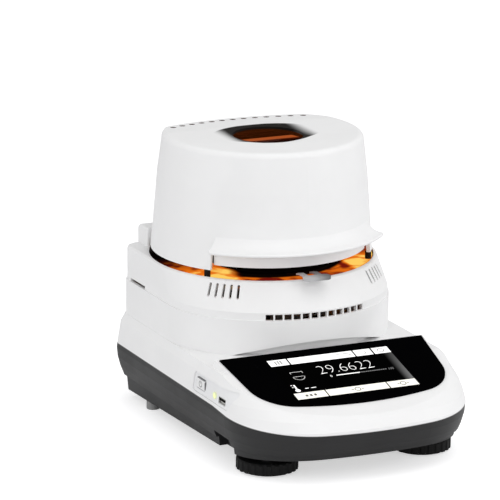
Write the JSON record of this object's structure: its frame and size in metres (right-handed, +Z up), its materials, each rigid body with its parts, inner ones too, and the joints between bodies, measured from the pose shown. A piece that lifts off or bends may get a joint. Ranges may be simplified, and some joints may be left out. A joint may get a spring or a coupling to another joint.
{
  "type": "moisture analyzer",
  "caption": "Bench-top halogen moisture analyzer: balance with a round drying chamber under a hinged heating lid with a sight window, and a sloping touch display in front.",
  "frame": {"origin": "on the bench, under the middle of the instrument's overall box", "axes": "+Z up, +Y towards the back of the instrument, +X to the right as seen from the display"},
  "size_m": [0.208, 0.2983, 0.2355],
  "materials": {
    "white_plastic": "satin moulded plastic",
    "dark_plastic": "fine-grained moulded plastic",
    "black_gloss": "polished black plate",
    "display": "lit touch panel",
    "circuit_board": "solder mask",
    "panel_grey": "satin moulded plastic",
    "button_grey": "satin moulded plastic",
    "lamp": "clear lens",
    "socket_metal": "nickel plated",
    "black_plastic": "moulded plastic",
    "level_vial": "clear vial",
    "peg_grey": "moulded plastic",
    "brass": "turned",
    "screw_steel": "plain steel",
    "polished_steel": "polished",
    "sheet_steel": "sheet",
    "aluminium": "pressed or cast",
    "rubber": "soft",
    "sight_glass": "clear heat-proof glass",
    "glowing_tube": "glowing halogen tube",
    "ceramic": "unglazed"
  },
  "bodies": {
    "instrument": {"base_tub": "dark_plastic", "top_cover": "white_plastic", "chamber_collar": "white_plastic", "hinge_housing": "white_plastic", "display_facia": "black_gloss", "lcd_panel": "display", "display_board": "circuit_board", "side_panel": "white_plastic", "status_led": "lamp", "usb_port_side": "socket_metal", "rear_panel": "panel_grey", "mains_inlet": "black_plastic", "switch_frame": "black_plastic", "serial_port": "socket_metal", "usb_b_port": "socket_metal", "bubble_level": "level_vial", "rear_pegs": "peg_grey", "foot_bushings": "brass", "cover_screws": "screw_steel", "chamber_ring": "polished_steel", "chamber_pot": "polished_steel", "heat_shield": "sheet_steel", "pan_support": "aluminium", "weigh_shaft": "screw_steel", "weigh_cell": "aluminium", "cell_bracket": "sheet_steel", "mainboard": "circuit_board", "power_supply": "sheet_steel", "hinge_pin": "screw_steel", "foot_pad_left": "rubber", "foot_pad_right": "rubber"},
    "lid": {"lid_shell": "white_plastic", "lid_inner_ring": "white_plastic", "lid_liner": "polished_steel", "window_glass": "sight_glass", "heater_tubes": "glowing_tube", "heater_caps": "ceramic", "heater_brackets": "sheet_steel", "heater_guard": "polished_steel", "temperature_sensor": "sheet_steel", "lid_bumpers": "rubber", "hinge_arm_left": "screw_steel", "hinge_arm_right": "screw_steel"},
    "lifter": {"pan_lifter": "black_plastic", "sample_pan": "aluminium"},
    "power_button": {"power_button": "button_grey"},
    "mains_rocker": {"mains_rocker": "black_plastic"},
    "foot_left": {"level_wheel_left": "black_plastic", "level_stud_left": "screw_steel"},
    "foot_right": {"level_wheel_right": "black_plastic", "level_stud_right": "screw_steel"}
  },
  "joints": [
    {"name": "lid_hinge", "type": "hinge", "parent": "instrument", "child": "lid", "pos_m": [0, 0.1395, 0.143], "axis": [-1, 0, 0], "range_deg": [0, 80]},
    {"name": "pan_lift", "type": "slide", "parent": "instrument", "child": "lifter", "axis": [0, 0, 1], "range_m": [0, 0.004]},
    {"name": "power_button_press", "type": "slide", "parent": "instrument", "child": "power_button", "axis": [1, 0, 0], "range_m": [0, 0.0008], "stiffness_N_per_m": 1500},
    {"name": "mains_rocker_tilt", "type": "hinge", "parent": "instrument", "child": "mains_rocker", "pos_m": [0.034, 0.1325, 0.029], "axis": [-1, 0, 0], "range_deg": [0, 20]},
    {"name": "foot_turn_left", "type": "hinge", "parent": "instrument", "child": "foot_left", "pos_m": [-0.0688, -0.0847, 0.006], "axis": [0, 0, 1], "range_deg": [-960, 480]},
    {"name": "foot_turn_right", "type": "hinge", "parent": "instrument", "child": "foot_right", "pos_m": [0.0688, -0.0847, 0.006], "axis": [0, 0, 1], "range_deg": [-960, 480]}
  ]
}
